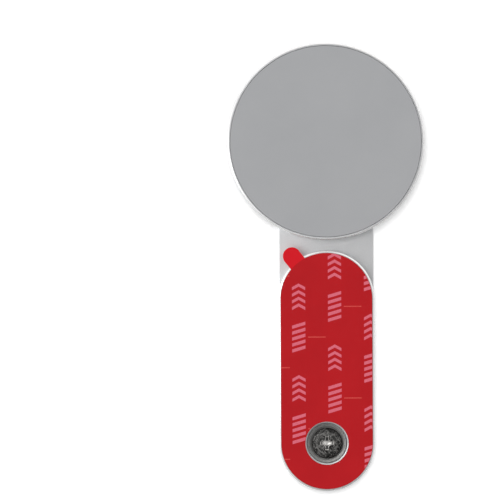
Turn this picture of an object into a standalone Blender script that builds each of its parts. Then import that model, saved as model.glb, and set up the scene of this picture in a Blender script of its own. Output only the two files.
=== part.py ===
"""Magnetic phone holder for the edge of a laptop lid, folded and lying on its back.

A base plate is stuck to the back of the lid by foam tape, whose release liner is still on. An arm turns on a
screw at the base plate's lower end and carries a round head with a ring of magnets under a soft pad.

Metres, +Z up out of the pad's face, +Y from the pivot to the head. The origin is at the middle of the
object's outline, on the surface that it lies on.
"""

import math

import bmesh
import bpy

MM = 0.001

# Round head
HEAD_DIAMETER = 58.0 * MM
RIM_WIDTH = 0.85 * MM
RIM_CHAMFER = 0.6 * MM
CUP_FLOOR = 1.0 * MM
CUP_FOOT_CHAMFER = 0.3 * MM
PAD_THICKNESS = 0.8 * MM
PAD_EDGE_ROUND = 0.2 * MM
PAD_PROUD = 0.15 * MM
PAD_EDGE_GAP = 0.15 * MM

# Magnets, the ring of steel behind them and the moulded disc that holds both
MAGNET_COUNT = 16
MAGNET_WIDTH = 4.0 * MM
MAGNET_THICKNESS = 1.5 * MM
MAGNET_SPACING = 1.0 * MM
MAGNET_CORNER_CHAMFER = 0.25 * MM
YOKE_THICKNESS = 0.6 * MM
YOKE_MARGIN = 0.4 * MM
CARRIER_WEB = 0.8 * MM
CARRIER_OUTER_WALL = 0.45 * MM
CARRIER_INNER_WALL = 0.8 * MM
POCKET_CLEARANCE = 0.15 * MM

# Arm, a little narrower than the base plate and just long enough for the head to clear its end
ARM_SIDE_INSET = 0.15 * MM
ARM_THICKNESS = 2.2 * MM
ARM_CHAMFER = 0.3 * MM
HEAD_TO_BASE_GAP = 3.25 * MM

# Base plate
BASE_LENGTH = 70.9 * MM
BASE_WIDTH = 28.3 * MM
BASE_THICKNESS = 2.5 * MM
BASE_CHAMFER = 0.45 * MM
ARM_TO_BASE_GAP = 0.4 * MM

# Foam tape and its release liner, with the pull tab at the upper left
TAPE_MARGIN = 0.65 * MM
TAPE_THICKNESS = 1.0 * MM
TAPE_HOLE_MARGIN = 0.05 * MM
LINER_THICKNESS = 0.3 * MM
TAB_WIDTH = 5.3 * MM
TAB_LENGTH = 5.3 * MM
TAB_TILT = math.radians(38.9)

# Pivot: a clinch stud in the arm, which the base plate turns on, and the screw and washers that hold it
STUD_DIAMETER = 6.0 * MM
STUD_HEAD_ACROSS_FLATS = 9.5 * MM
STUD_HEAD_HEIGHT = 0.9 * MM
STUD_SHOULDER = 0.1 * MM
RUNNING_CLEARANCE = 0.1 * MM
RUNNING_GAP = 0.2 * MM
SCREW_POCKET_DEPTH = 1.2 * MM
SCREW_POCKET_WALL_GAP = 0.2 * MM
SCREW_POCKET_CHAMFER = 0.3 * MM
FRICTION_WASHER_DIAMETER = 16.0 * MM
FRICTION_WASHER_THICKNESS = 0.5 * MM
CUP_WASHER_LAND_MARGIN = 0.35 * MM
CUP_WASHER_FLARE = 0.6 * MM
CUP_WASHER_RISE = 0.3 * MM
CUP_WASHER_LIP = 0.25 * MM
CUP_WASHER_THICKNESS = 0.5 * MM
CUP_WASHER_EDGE_CHAMFER = 0.12 * MM
PIVOT_SCREW_DIAMETER = 3.0 * MM
PIVOT_SCREW_HEAD_DIAMETER = 9.1 * MM
PIVOT_SCREW_HEAD_HEIGHT = 1.3 * MM
PIVOT_SCREW_CROWN_DIAMETER = 6.2 * MM
PIVOT_SCREW_EDGE_HEIGHT = 0.45 * MM
PIVOT_SCREW_GRIP = 2.4 * MM
PIVOT_CROSS_SPAN = 4.4 * MM
PIVOT_CROSS_ARM = 1.15 * MM
PIVOT_CROSS_CORNER = 0.42 * MM
PIVOT_CROSS_DEPTH = 1.1 * MM

# Screws through the head's floor into the arm
HOUSING_SCREW_COUNT = 3
HOUSING_SCREW_CIRCLE = 18.0 * MM
HOUSING_SCREW_DIAMETER = 2.0 * MM
HOUSING_SCREW_HEAD_DIAMETER = 4.0 * MM
HOUSING_SCREW_HEAD_HEIGHT = 0.9 * MM
HOUSING_SCREW_CROWN_DIAMETER = 2.6 * MM
HOUSING_SCREW_EDGE_HEIGHT = 0.4 * MM
HOUSING_SCREW_GRIP = 1.4 * MM
HOUSING_CROSS_SPAN = 2.0 * MM
HOUSING_CROSS_ARM = 0.5 * MM
HOUSING_CROSS_CORNER = 0.2 * MM
HOUSING_CROSS_DEPTH = 0.6 * MM

# Clearances of pieces that are seated on each other, and of a screw in its threaded hole
SEAT_GAP = 0.3 * MM
FIT_CLEARANCE = 0.15 * MM
THREAD_CLEARANCE = 0.1 * MM
CROSS_TAPER = 0.55
CROWN_RISE = 0.12 * MM
CUTTER_OVERRUN = 1.0 * MM
MERGE_DISTANCE = 0.001 * MM

# Facets
DISC_STEPS = 72
SMALL_STEPS = 40
PLATE_END_STEPS = 28
TAB_END_STEPS = 12
MAGNET_ARC_STEPS = 5
DOME_STEPS = 4
ROUND_STEPS = 3

# Heights, from the surface that the arm's back lies on
HEAD_BOTTOM = ARM_THICKNESS + SEAT_GAP
CUP_FLOOR_TOP = HEAD_BOTTOM + CUP_FLOOR
YOKE_BOTTOM = CUP_FLOOR_TOP + SEAT_GAP
YOKE_TOP = YOKE_BOTTOM + YOKE_THICKNESS
MAGNET_BOTTOM = YOKE_TOP + SEAT_GAP
MAGNET_TOP = MAGNET_BOTTOM + MAGNET_THICKNESS
PAD_BOTTOM = MAGNET_TOP + SEAT_GAP
PAD_TOP = PAD_BOTTOM + PAD_THICKNESS
RIM_TOP = PAD_TOP - PAD_PROUD
BASE_BOTTOM = ARM_THICKNESS + ARM_TO_BASE_GAP
BASE_TOP = BASE_BOTTOM + BASE_THICKNESS
TAPE_BOTTOM = BASE_TOP + SEAT_GAP
TAPE_TOP = TAPE_BOTTOM + TAPE_THICKNESS
LINER_BOTTOM = TAPE_TOP + SEAT_GAP
LINER_TOP = LINER_BOTTOM + LINER_THICKNESS
FRICTION_WASHER_BOTTOM = ARM_THICKNESS + RUNNING_GAP
FRICTION_WASHER_TOP = FRICTION_WASHER_BOTTOM + FRICTION_WASHER_THICKNESS
SCREW_POCKET_FLOOR = BASE_TOP - SCREW_POCKET_DEPTH
STUD_TOP = SCREW_POCKET_FLOOR + STUD_SHOULDER
CUP_WASHER_BOTTOM = SCREW_POCKET_FLOOR + RUNNING_GAP
PIVOT_HEAD_BOTTOM = CUP_WASHER_BOTTOM + CUP_WASHER_THICKNESS + SEAT_GAP
PIVOT_SCREW_END = STUD_TOP - PIVOT_SCREW_GRIP
HOUSING_HEAD_BOTTOM = CUP_FLOOR_TOP + SEAT_GAP
HOUSING_SCREW_END = ARM_THICKNESS - HOUSING_SCREW_GRIP

# Radii and places that follow from the sizes above
HEAD_RADIUS = HEAD_DIAMETER / 2
CUP_INNER_RADIUS = HEAD_RADIUS - RIM_WIDTH
CARRIER_RADIUS = CUP_INNER_RADIUS - FIT_CLEARANCE
YOKE_OUTER_RADIUS = CARRIER_RADIUS - CARRIER_OUTER_WALL - POCKET_CLEARANCE
MAGNET_OUTER_RADIUS = YOKE_OUTER_RADIUS - YOKE_MARGIN
MAGNET_INNER_RADIUS = MAGNET_OUTER_RADIUS - MAGNET_WIDTH
YOKE_INNER_RADIUS = MAGNET_INNER_RADIUS - YOKE_MARGIN
BASE_END_RADIUS = BASE_WIDTH / 2
BASE_SPAN = BASE_LENGTH - BASE_WIDTH
ARM_END_RADIUS = BASE_END_RADIUS - ARM_SIDE_INSET
ARM_REACH = BASE_SPAN + BASE_END_RADIUS + HEAD_TO_BASE_GAP + HEAD_RADIUS
TAPE_END_RADIUS = BASE_END_RADIUS - TAPE_MARGIN
CUP_WASHER_LAND_RADIUS = PIVOT_SCREW_HEAD_DIAMETER / 2 + CUP_WASHER_LAND_MARGIN
CUP_WASHER_RADIUS = CUP_WASHER_LAND_RADIUS + CUP_WASHER_FLARE + CUP_WASHER_LIP
SCREW_POCKET_RADIUS = CUP_WASHER_RADIUS + SCREW_POCKET_WALL_GAP
SCREW_POCKET_MOUTH_RADIUS = SCREW_POCKET_RADIUS + SCREW_POCKET_CHAMFER
TAPE_HOLE_RADIUS = SCREW_POCKET_MOUTH_RADIUS + TAPE_HOLE_MARGIN
STUD_RADIUS = STUD_DIAMETER / 2
STUD_BORE_RADIUS = STUD_RADIUS + RUNNING_CLEARANCE
OVERALL_LENGTH = BASE_END_RADIUS + ARM_REACH + HEAD_RADIUS
PIVOT_Y = BASE_END_RADIUS - OVERALL_LENGTH / 2


def clear_scene():
    for obj in list(bpy.data.objects):
        bpy.data.objects.remove(obj, do_unlink=True)


def axis_empty(name, location, parent=None):
    empty = bpy.data.objects.new(name, None)
    empty.location = location
    empty.parent = parent
    bpy.context.collection.objects.link(empty)
    return empty


def finish(name, colour, metallic, roughness):
    material = bpy.data.materials.new(name)
    material.use_nodes = True
    shader = material.node_tree.nodes["Principled BSDF"]
    shader.inputs["Base Color"].default_value = (*colour, 1.0)
    shader.inputs["Metallic"].default_value = metallic
    shader.inputs["Roughness"].default_value = roughness
    material.diffuse_color = (*colour, 1.0)
    return material


# Outlines in the plane of the plates, counter-clockwise


def arc(radius, centre, first, last, steps):
    """Points along an arc, both of its ends included, between two angles in radians."""
    points = []
    for step in range(steps + 1):
        angle = first + (last - first) * step / steps
        points.append((centre[0] + radius * math.cos(angle), centre[1] + radius * math.sin(angle)))
    return points


def round_ended(radius, span, steps):
    """A bar with full-round ends: the lower end's centre is at the origin, the upper one's at span on +Y."""
    lower = arc(radius, (0.0, 0.0), math.pi, 2 * math.pi, steps)
    upper = arc(radius, (0.0, span), 0.0, math.pi, steps)
    return lower + upper


def ring_sector(inner, outer, half_gap, half_angle, steps):
    """A sector of a ring about +X, whose straight ends stay half_gap short of the sector's radial sides."""
    outer_end = half_angle - math.asin(half_gap / outer)
    inner_end = half_angle - math.asin(half_gap / inner)
    outside = arc(outer, (0.0, 0.0), -outer_end, outer_end, steps)
    inside = arc(inner, (0.0, 0.0), inner_end, -inner_end, steps)
    return outside + inside


def hexagon(across_flats):
    return arc(across_flats / math.sqrt(3), (0.0, 0.0), 0.0, 5 * math.pi / 3, 5)


def cross(span, arm, corner):
    """The outline of a cross recess: four arms of one width, with the corners between them cut off."""
    tip = span / 2
    side = arm / 2
    quarter = [(tip, -side), (tip, side), (side + corner, side), (side, side + corner)]
    outline = []
    for turn_count in range(4):
        angle = turn_count * math.pi / 2
        cosine = math.cos(angle)
        sine = math.sin(angle)
        outline += [(x * cosine - y * sine, x * sine + y * cosine) for x, y in quarter]
    return outline


# Solids, added to a bmesh


def extrude(bm, outline, bottom, top, centre=(0.0, 0.0), bottom_scale=1.0):
    """A prism on the outline. With bottom_scale under 1 its sides taper downwards."""
    corners = [
        bm.verts.new((centre[0] + x * bottom_scale, centre[1] + y * bottom_scale, bottom))
        for x, y in outline
    ]
    lower_face = bm.faces.new(corners)
    grown = bmesh.ops.extrude_face_region(bm, geom=[lower_face])
    raised = [item for item in grown["geom"] if isinstance(item, bmesh.types.BMVert)]
    for vertex in raised:
        vertex.co.x = centre[0] + (vertex.co.x - centre[0]) / bottom_scale
        vertex.co.y = centre[1] + (vertex.co.y - centre[1]) / bottom_scale
        vertex.co.z = top


def turn(bm, profile, steps, centre=(0.0, 0.0), bored=False):
    """A turned solid from a profile of (radius, height), which is a closed loop if the solid is bored."""
    points = [bm.verts.new((centre[0] + radius, centre[1], height)) for radius, height in profile]
    edges = [bm.edges.new(pair) for pair in zip(points, points[1:])]
    if bored:
        edges.append(bm.edges.new((points[-1], points[0])))
    bmesh.ops.spin(
        bm,
        geom=points + edges,
        cent=(centre[0], centre[1], 0.0),
        axis=(0.0, 0.0, 1.0),
        angle=2 * math.pi,
        steps=steps,
    )
    bmesh.ops.remove_doubles(bm, verts=bm.verts[:], dist=MERGE_DISTANCE)


def hole(bm, radius, bottom, top, steps=SMALL_STEPS, centre=(0.0, 0.0)):
    turn(bm, [(0.0, top), (radius, top), (radius, bottom), (0.0, bottom)], steps, centre)


def circle_places(count, diameter):
    """Places evenly spaced on a circle, the first of them on +Y."""
    for index in range(count):
        angle = math.pi / 2 + 2 * math.pi * index / count
        yield diameter / 2 * math.cos(angle), diameter / 2 * math.sin(angle)


# Objects


def mesh_of(name, bm):
    bmesh.ops.recalc_face_normals(bm, faces=bm.faces[:])
    mesh = bpy.data.meshes.new(name)
    bm.to_mesh(mesh)
    bm.free()
    mesh.shade_smooth()
    mesh.set_sharp_from_angle(angle=math.radians(30))
    return mesh


def piece(name, mesh, material, parent):
    obj = bpy.data.objects.new(name, mesh)
    if not mesh.materials:
        mesh.materials.append(material)
    obj.parent = parent
    bpy.context.collection.objects.link(obj)
    return obj


def cutter(name, bm, parent):
    obj = bpy.data.objects.new(name, mesh_of(name, bm))
    obj.parent = parent
    obj.hide_render = True
    obj.display_type = "WIRE"
    bpy.context.collection.objects.link(obj)
    return obj


def cut(target, tool):
    modifier = target.modifiers.new(tool.name, "BOOLEAN")
    modifier.operation = "DIFFERENCE"
    modifier.solver = "EXACT"
    modifier.object = tool


def bevel_edges(target, width, segments=1):
    """A bevel of the edges between a plate's faces and its sides, made before any hole is cut."""
    modifier = target.modifiers.new("edge_chamfer", "BEVEL")
    modifier.width = width
    modifier.segments = segments
    modifier.limit_method = "ANGLE"
    modifier.angle_limit = math.radians(60)


# Base plate, with its tape


def make_base_plate(parent, material):
    """The plate stuck to the lid, with a stepped bore: screw pocket, running bore and washer recess."""
    bm = bmesh.new()
    extrude(bm, round_ended(BASE_END_RADIUS, BASE_SPAN, PLATE_END_STEPS), BASE_BOTTOM, BASE_TOP)
    plate = piece("base_plate", mesh_of("base_plate", bm), material, parent)
    bevel_edges(plate, BASE_CHAMFER)

    washer_recess_top = FRICTION_WASHER_TOP + RUNNING_GAP
    washer_recess_radius = FRICTION_WASHER_DIAMETER / 2 + FIT_CLEARANCE
    below = BASE_BOTTOM - CUTTER_OVERRUN
    stepped_bore = [
        (0.0, BASE_TOP + CUTTER_OVERRUN),
        (SCREW_POCKET_MOUTH_RADIUS, BASE_TOP + CUTTER_OVERRUN),
        (SCREW_POCKET_MOUTH_RADIUS, BASE_TOP),
        (SCREW_POCKET_RADIUS, BASE_TOP - SCREW_POCKET_CHAMFER),
        (SCREW_POCKET_RADIUS, SCREW_POCKET_FLOOR),
        (STUD_BORE_RADIUS, SCREW_POCKET_FLOOR),
        (STUD_BORE_RADIUS, washer_recess_top),
        (washer_recess_radius, washer_recess_top),
        (washer_recess_radius, below),
        (0.0, below),
    ]
    bm = bmesh.new()
    turn(bm, stepped_bore, SMALL_STEPS)
    cut(plate, cutter("base_bore_cutter", bm, parent))


def make_adhesive_tape(parent, material):
    bm = bmesh.new()
    extrude(bm, round_ended(TAPE_END_RADIUS, BASE_SPAN, PLATE_END_STEPS), TAPE_BOTTOM, TAPE_TOP)
    tape = piece("adhesive_tape", mesh_of("adhesive_tape", bm), material, parent)
    bm = bmesh.new()
    hole(bm, TAPE_HOLE_RADIUS, TAPE_BOTTOM - CUTTER_OVERRUN, TAPE_TOP + CUTTER_OVERRUN)
    cut(tape, cutter("tape_hole_cutter", bm, parent))


def make_release_liner(parent, material):
    """The liner has the tape's outline and hole, and a pull tab that runs radially off its upper end."""
    half_width = TAB_WIDTH / 2
    end_distance = TAPE_END_RADIUS + TAB_LENGTH - half_width
    tab_axis = math.pi / 2 + TAB_TILT
    root_angle = math.asin(half_width / TAPE_END_RADIUS)
    upper_centre = (0.0, BASE_SPAN)
    tab_end_centre = (
        end_distance * math.cos(tab_axis),
        BASE_SPAN + end_distance * math.sin(tab_axis),
    )
    right_steps = PLATE_END_STEPS * 2 // 3
    left_steps = PLATE_END_STEPS // 3
    outline = arc(TAPE_END_RADIUS, (0.0, 0.0), math.pi, 2 * math.pi, PLATE_END_STEPS)
    outline += arc(TAPE_END_RADIUS, upper_centre, 0.0, tab_axis - root_angle, right_steps)
    outline += arc(half_width, tab_end_centre, TAB_TILT, TAB_TILT + math.pi, TAB_END_STEPS)
    outline += arc(TAPE_END_RADIUS, upper_centre, tab_axis + root_angle, math.pi, left_steps)

    bm = bmesh.new()
    extrude(bm, outline, LINER_BOTTOM, LINER_TOP)
    liner = piece("release_liner", mesh_of("release_liner", bm), material, parent)
    bm = bmesh.new()
    hole(bm, TAPE_HOLE_RADIUS, LINER_BOTTOM - CUTTER_OVERRUN, LINER_TOP + CUTTER_OVERRUN)
    cut(liner, cutter("liner_hole_cutter", bm, parent))


# Arm and pivot


def make_arm_plate(parent, material):
    """The bar from the pivot to under the head, with the stud's hexagonal seat in its back."""
    bm = bmesh.new()
    extrude(bm, round_ended(ARM_END_RADIUS, ARM_REACH, PLATE_END_STEPS), 0.0, ARM_THICKNESS)
    arm = piece("arm_plate", mesh_of("arm_plate", bm), material, parent)
    bevel_edges(arm, ARM_CHAMFER)

    seat_top = STUD_HEAD_HEIGHT + FIT_CLEARANCE
    above = ARM_THICKNESS + CUTTER_OVERRUN
    bm = bmesh.new()
    extrude(bm, hexagon(STUD_HEAD_ACROSS_FLATS + 2 * FIT_CLEARANCE), -CUTTER_OVERRUN, seat_top)
    cut(arm, cutter("stud_seat_cutter", bm, parent))

    bm = bmesh.new()
    hole(bm, STUD_RADIUS + FIT_CLEARANCE, seat_top / 2, above)
    thread_radius = HOUSING_SCREW_DIAMETER / 2 + THREAD_CLEARANCE
    for x, y in circle_places(HOUSING_SCREW_COUNT, HOUSING_SCREW_CIRCLE):
        centre = (x, ARM_REACH + y)
        hole(bm, thread_radius, HOUSING_SCREW_END - SEAT_GAP, above, SMALL_STEPS // 2, centre)
    cut(arm, cutter("arm_holes_cutter", bm, parent))


def make_pivot_stud(parent, material):
    """A clinch stud: a hexagonal head flush with the arm's back, and an axle with a blind thread."""
    thread_radius = PIVOT_SCREW_DIAMETER / 2 + THREAD_CLEARANCE
    thread_end = PIVOT_SCREW_END - SEAT_GAP
    axle = [
        (0.0, thread_end),
        (thread_radius, thread_end),
        (thread_radius, STUD_TOP),
        (STUD_RADIUS, STUD_TOP),
        (STUD_RADIUS, STUD_HEAD_HEIGHT / 2),
        (0.0, STUD_HEAD_HEIGHT / 2),
    ]
    bm = bmesh.new()
    turn(bm, axle, SMALL_STEPS)
    stud = piece("pivot_stud", mesh_of("pivot_stud", bm), material, parent)
    bm = bmesh.new()
    extrude(bm, hexagon(STUD_HEAD_ACROSS_FLATS), 0.0, STUD_HEAD_HEIGHT)
    head = cutter("stud_head_union", bm, parent)
    modifier = stud.modifiers.new(head.name, "BOOLEAN")
    modifier.operation = "UNION"
    modifier.solver = "EXACT"
    modifier.object = head


def make_friction_washer(parent, material):
    outer = FRICTION_WASHER_DIAMETER / 2
    section = [
        (STUD_BORE_RADIUS, FRICTION_WASHER_TOP),
        (outer, FRICTION_WASHER_TOP),
        (outer, FRICTION_WASHER_BOTTOM),
        (STUD_BORE_RADIUS, FRICTION_WASHER_BOTTOM),
    ]
    bm = bmesh.new()
    turn(bm, section, SMALL_STEPS, bored=True)
    piece("friction_washer", mesh_of("friction_washer", bm), material, parent)


def make_cup_washer(parent, material):
    """A pressed cup washer: a land under the screw's head, a shallow flare and a narrow flat lip."""
    bore = PIVOT_SCREW_DIAMETER / 2 + FIT_CLEARANCE
    land_top = CUP_WASHER_BOTTOM + CUP_WASHER_THICKNESS
    flare_end = CUP_WASHER_LAND_RADIUS + CUP_WASHER_FLARE
    lip_top = land_top + CUP_WASHER_RISE
    lip_bottom = CUP_WASHER_BOTTOM + CUP_WASHER_RISE
    section = [
        (bore, land_top),
        (CUP_WASHER_LAND_RADIUS, land_top),
        (flare_end, lip_top),
        (CUP_WASHER_RADIUS - CUP_WASHER_EDGE_CHAMFER, lip_top),
        (CUP_WASHER_RADIUS, lip_top - CUP_WASHER_EDGE_CHAMFER),
        (CUP_WASHER_RADIUS, lip_bottom),
        (flare_end, lip_bottom),
        (CUP_WASHER_LAND_RADIUS, CUP_WASHER_BOTTOM),
        (bore, CUP_WASHER_BOTTOM),
    ]
    bm = bmesh.new()
    turn(bm, section, SMALL_STEPS, bored=True)
    piece("pivot_cup_washer", mesh_of("pivot_cup_washer", bm), material, parent)


def screw_mesh(name, head_diameter, crown_diameter, head_height, edge_height, head_bottom, diameter, end):
    """A pan-head screw: a slightly raised crown, a quarter of an ellipse round it and an upright edge."""
    head_radius = head_diameter / 2
    crown_radius = crown_diameter / 2
    crown_edge = head_bottom + head_height - CROWN_RISE
    profile = [(0.0, head_bottom + head_height), (crown_radius, crown_edge)]
    for step in range(1, DOME_STEPS + 1):
        angle = math.pi / 2 * step / DOME_STEPS
        radius = crown_radius + (head_radius - crown_radius) * math.sin(angle)
        edge_top = head_bottom + edge_height
        profile.append((radius, edge_top + (crown_edge - edge_top) * math.cos(angle)))
    profile += [
        (head_radius, head_bottom),
        (diameter / 2, head_bottom),
        (diameter / 2, end),
        (0.0, end),
    ]
    bm = bmesh.new()
    turn(bm, profile, SMALL_STEPS)
    return mesh_of(name, bm)


def cross_cutter(name, span, arm, corner, depth, head_top, parent):
    bm = bmesh.new()
    reach = (depth + CUTTER_OVERRUN) / depth
    top_growth = 1 + (1 - CROSS_TAPER) * (reach - 1)
    outline = [(x * top_growth, y * top_growth) for x, y in cross(span, arm, corner)]
    bottom_scale = CROSS_TAPER / top_growth
    extrude(bm, outline, head_top - depth, head_top + CUTTER_OVERRUN, bottom_scale=bottom_scale)
    return cutter(name, bm, parent)


def make_pivot_screw(parent, material):
    mesh = screw_mesh(
        "pivot_screw",
        PIVOT_SCREW_HEAD_DIAMETER,
        PIVOT_SCREW_CROWN_DIAMETER,
        PIVOT_SCREW_HEAD_HEIGHT,
        PIVOT_SCREW_EDGE_HEIGHT,
        PIVOT_HEAD_BOTTOM,
        PIVOT_SCREW_DIAMETER,
        PIVOT_SCREW_END,
    )
    screw = piece("pivot_screw", mesh, material, parent)
    head_top = PIVOT_HEAD_BOTTOM + PIVOT_SCREW_HEAD_HEIGHT
    cut(
        screw,
        cross_cutter(
            "pivot_cross_cutter",
            PIVOT_CROSS_SPAN,
            PIVOT_CROSS_ARM,
            PIVOT_CROSS_CORNER,
            PIVOT_CROSS_DEPTH,
            head_top,
            parent,
        ),
    )


# Round head


def make_disc_housing(parent, material):
    """The turned cup: a floor with the screw holes, a wall, and a chamfered rim round the pad."""
    profile = [
        (0.0, CUP_FLOOR_TOP),
        (CUP_INNER_RADIUS, CUP_FLOOR_TOP),
        (CUP_INNER_RADIUS, RIM_TOP),
        (HEAD_RADIUS - RIM_CHAMFER, RIM_TOP),
        (HEAD_RADIUS, RIM_TOP - RIM_CHAMFER),
        (HEAD_RADIUS, HEAD_BOTTOM + CUP_FOOT_CHAMFER),
        (HEAD_RADIUS - CUP_FOOT_CHAMFER, HEAD_BOTTOM),
        (0.0, HEAD_BOTTOM),
    ]
    bm = bmesh.new()
    turn(bm, profile, DISC_STEPS)
    housing = piece("disc_housing", mesh_of("disc_housing", bm), material, parent)

    bm = bmesh.new()
    hole_radius = HOUSING_SCREW_DIAMETER / 2 + FIT_CLEARANCE
    for centre in circle_places(HOUSING_SCREW_COUNT, HOUSING_SCREW_CIRCLE):
        bottom = HEAD_BOTTOM - CUTTER_OVERRUN
        top = CUP_FLOOR_TOP + CUTTER_OVERRUN
        hole(bm, hole_radius, bottom, top, SMALL_STEPS // 2, centre)
    cut(housing, cutter("housing_holes_cutter", bm, parent))


def make_housing_screws(parent, material):
    mesh = screw_mesh(
        "housing_screw",
        HOUSING_SCREW_HEAD_DIAMETER,
        HOUSING_SCREW_CROWN_DIAMETER,
        HOUSING_SCREW_HEAD_HEIGHT,
        HOUSING_SCREW_EDGE_HEIGHT,
        HOUSING_HEAD_BOTTOM,
        HOUSING_SCREW_DIAMETER,
        HOUSING_SCREW_END,
    )
    head_top = HOUSING_HEAD_BOTTOM + HOUSING_SCREW_HEAD_HEIGHT
    places = circle_places(HOUSING_SCREW_COUNT, HOUSING_SCREW_CIRCLE)
    for number, (x, y) in enumerate(places, start=1):
        screw = piece(f"housing_screw_{number}", mesh, material, parent)
        screw.location = (x, y, 0.0)
        recess = cross_cutter(
            f"housing_cross_cutter_{number}",
            HOUSING_CROSS_SPAN,
            HOUSING_CROSS_ARM,
            HOUSING_CROSS_CORNER,
            HOUSING_CROSS_DEPTH,
            head_top,
            parent,
        )
        recess.location = (x, y, 0.0)
        cut(screw, recess)


def make_yoke_ring(parent, material):
    section = [
        (YOKE_INNER_RADIUS, YOKE_TOP),
        (YOKE_OUTER_RADIUS, YOKE_TOP),
        (YOKE_OUTER_RADIUS, YOKE_BOTTOM),
        (YOKE_INNER_RADIUS, YOKE_BOTTOM),
    ]
    bm = bmesh.new()
    turn(bm, section, DISC_STEPS, bored=True)
    piece("yoke_ring", mesh_of("yoke_ring", bm), material, parent)


def magnet_outline(clearance):
    return ring_sector(
        MAGNET_INNER_RADIUS - clearance,
        MAGNET_OUTER_RADIUS + clearance,
        MAGNET_SPACING / 2 - clearance,
        math.pi / MAGNET_COUNT,
        MAGNET_ARC_STEPS,
    )


def make_magnet_carrier(parent, material):
    """A moulded disc: a web under the pad, a rebate below for the yoke, and a window for each magnet."""
    rebate_outer = YOKE_OUTER_RADIUS + POCKET_CLEARANCE
    rebate_inner = YOKE_INNER_RADIUS - POCKET_CLEARANCE
    wall_inner = rebate_inner - CARRIER_INNER_WALL
    web_bottom = MAGNET_TOP - CARRIER_WEB
    profile = [
        (0.0, MAGNET_TOP),
        (CARRIER_RADIUS, MAGNET_TOP),
        (CARRIER_RADIUS, YOKE_BOTTOM),
        (rebate_outer, YOKE_BOTTOM),
        (rebate_outer, MAGNET_BOTTOM),
        (rebate_inner, MAGNET_BOTTOM),
        (rebate_inner, YOKE_BOTTOM),
        (wall_inner, YOKE_BOTTOM),
        (wall_inner, web_bottom),
        (0.0, web_bottom),
    ]
    bm = bmesh.new()
    turn(bm, profile, DISC_STEPS)
    carrier = piece("magnet_carrier", mesh_of("magnet_carrier", bm), material, parent)

    bm = bmesh.new()
    window = magnet_outline(POCKET_CLEARANCE)
    for index in range(MAGNET_COUNT):
        angle = 2 * math.pi * index / MAGNET_COUNT
        cosine = math.cos(angle)
        sine = math.sin(angle)
        turned = [(x * cosine - y * sine, x * sine + y * cosine) for x, y in window]
        bottom = MAGNET_BOTTOM - CUTTER_OVERRUN / 2
        extrude(bm, turned, bottom, MAGNET_TOP + CUTTER_OVERRUN)
    cut(carrier, cutter("magnet_windows_cutter", bm, parent))


def make_magnets(parent, material):
    bm = bmesh.new()
    extrude(bm, magnet_outline(0.0), MAGNET_BOTTOM, MAGNET_TOP)
    mesh = mesh_of("magnet", bm)
    for index in range(MAGNET_COUNT):
        magnet = piece(f"magnet_{index + 1:02d}", mesh, material, parent)
        magnet.rotation_euler.z = 2 * math.pi * index / MAGNET_COUNT
        bevel_edges(magnet, MAGNET_CORNER_CHAMFER)


def make_face_pad(parent, material):
    """The soft pad, a little proud of the rim, with its upper edge rounded over."""
    radius = CUP_INNER_RADIUS - PAD_EDGE_GAP
    profile = [(0.0, PAD_TOP)]
    for step in range(ROUND_STEPS + 1):
        angle = math.pi / 2 * step / ROUND_STEPS
        x = radius - PAD_EDGE_ROUND + PAD_EDGE_ROUND * math.sin(angle)
        z = PAD_TOP - PAD_EDGE_ROUND + PAD_EDGE_ROUND * math.cos(angle)
        profile.append((x, z))
    profile += [(radius, PAD_BOTTOM), (0.0, PAD_BOTTOM)]
    bm = bmesh.new()
    turn(bm, profile, DISC_STEPS)
    piece("face_pad", mesh_of("face_pad", bm), material, parent)


def build():
    clear_scene()
    silver = finish("satin_aluminium", (0.72, 0.73, 0.73), 0.9, 0.38)
    pad_grey = finish("grey_pad", (0.37, 0.37, 0.38), 0.0, 0.75)
    foam = finish("dark_foam", (0.09, 0.09, 0.09), 0.0, 0.9)
    red_film = finish("red_film", (0.50, 0.02, 0.03), 0.0, 0.3)
    dark_steel = finish("dark_nickel_steel", (0.12, 0.115, 0.11), 1.0, 0.3)
    bright_steel = finish("bright_steel", (0.45, 0.44, 0.43), 1.0, 0.32)
    stud_steel = finish("plated_steel", (0.60, 0.60, 0.60), 1.0, 0.35)
    white_nylon = finish("white_nylon", (0.80, 0.80, 0.78), 0.0, 0.5)
    black_plastic = finish("black_moulding", (0.03, 0.03, 0.03), 0.0, 0.5)
    magnet_plating = finish("nickel_plating", (0.66, 0.64, 0.60), 1.0, 0.2)
    yoke_steel = finish("yoke_steel", (0.50, 0.50, 0.50), 1.0, 0.4)
    screw_steel = finish("zinc_steel", (0.55, 0.56, 0.58), 1.0, 0.35)

    base_axis = axis_empty("base_axis", (0.0, PIVOT_Y, 0.0))
    arm_axis = axis_empty("arm_axis", (0.0, PIVOT_Y, 0.0))
    head_axis = axis_empty("head_axis", (0.0, ARM_REACH, 0.0), arm_axis)

    make_base_plate(base_axis, silver)
    make_adhesive_tape(base_axis, foam)
    make_release_liner(base_axis, red_film)

    make_arm_plate(arm_axis, silver)
    make_pivot_stud(arm_axis, stud_steel)
    make_friction_washer(arm_axis, white_nylon)
    make_cup_washer(arm_axis, bright_steel)
    make_pivot_screw(arm_axis, dark_steel)

    make_disc_housing(head_axis, silver)
    make_housing_screws(head_axis, screw_steel)
    make_yoke_ring(head_axis, yoke_steel)
    make_magnet_carrier(head_axis, black_plastic)
    make_magnets(head_axis, magnet_plating)
    make_face_pad(head_axis, pad_grey)


build()
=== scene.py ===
"""Looks of a magnetic phone holder that lies folded on its back on a white table, seen from straight above.

Metres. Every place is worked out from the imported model, whose pieces sit at the origin with their place in
their mesh, +Y from the pivot to the round head and +Z out of the head's face.
"""

import math

import bmesh
import bpy
from mathutils import Matrix, Vector


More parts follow.
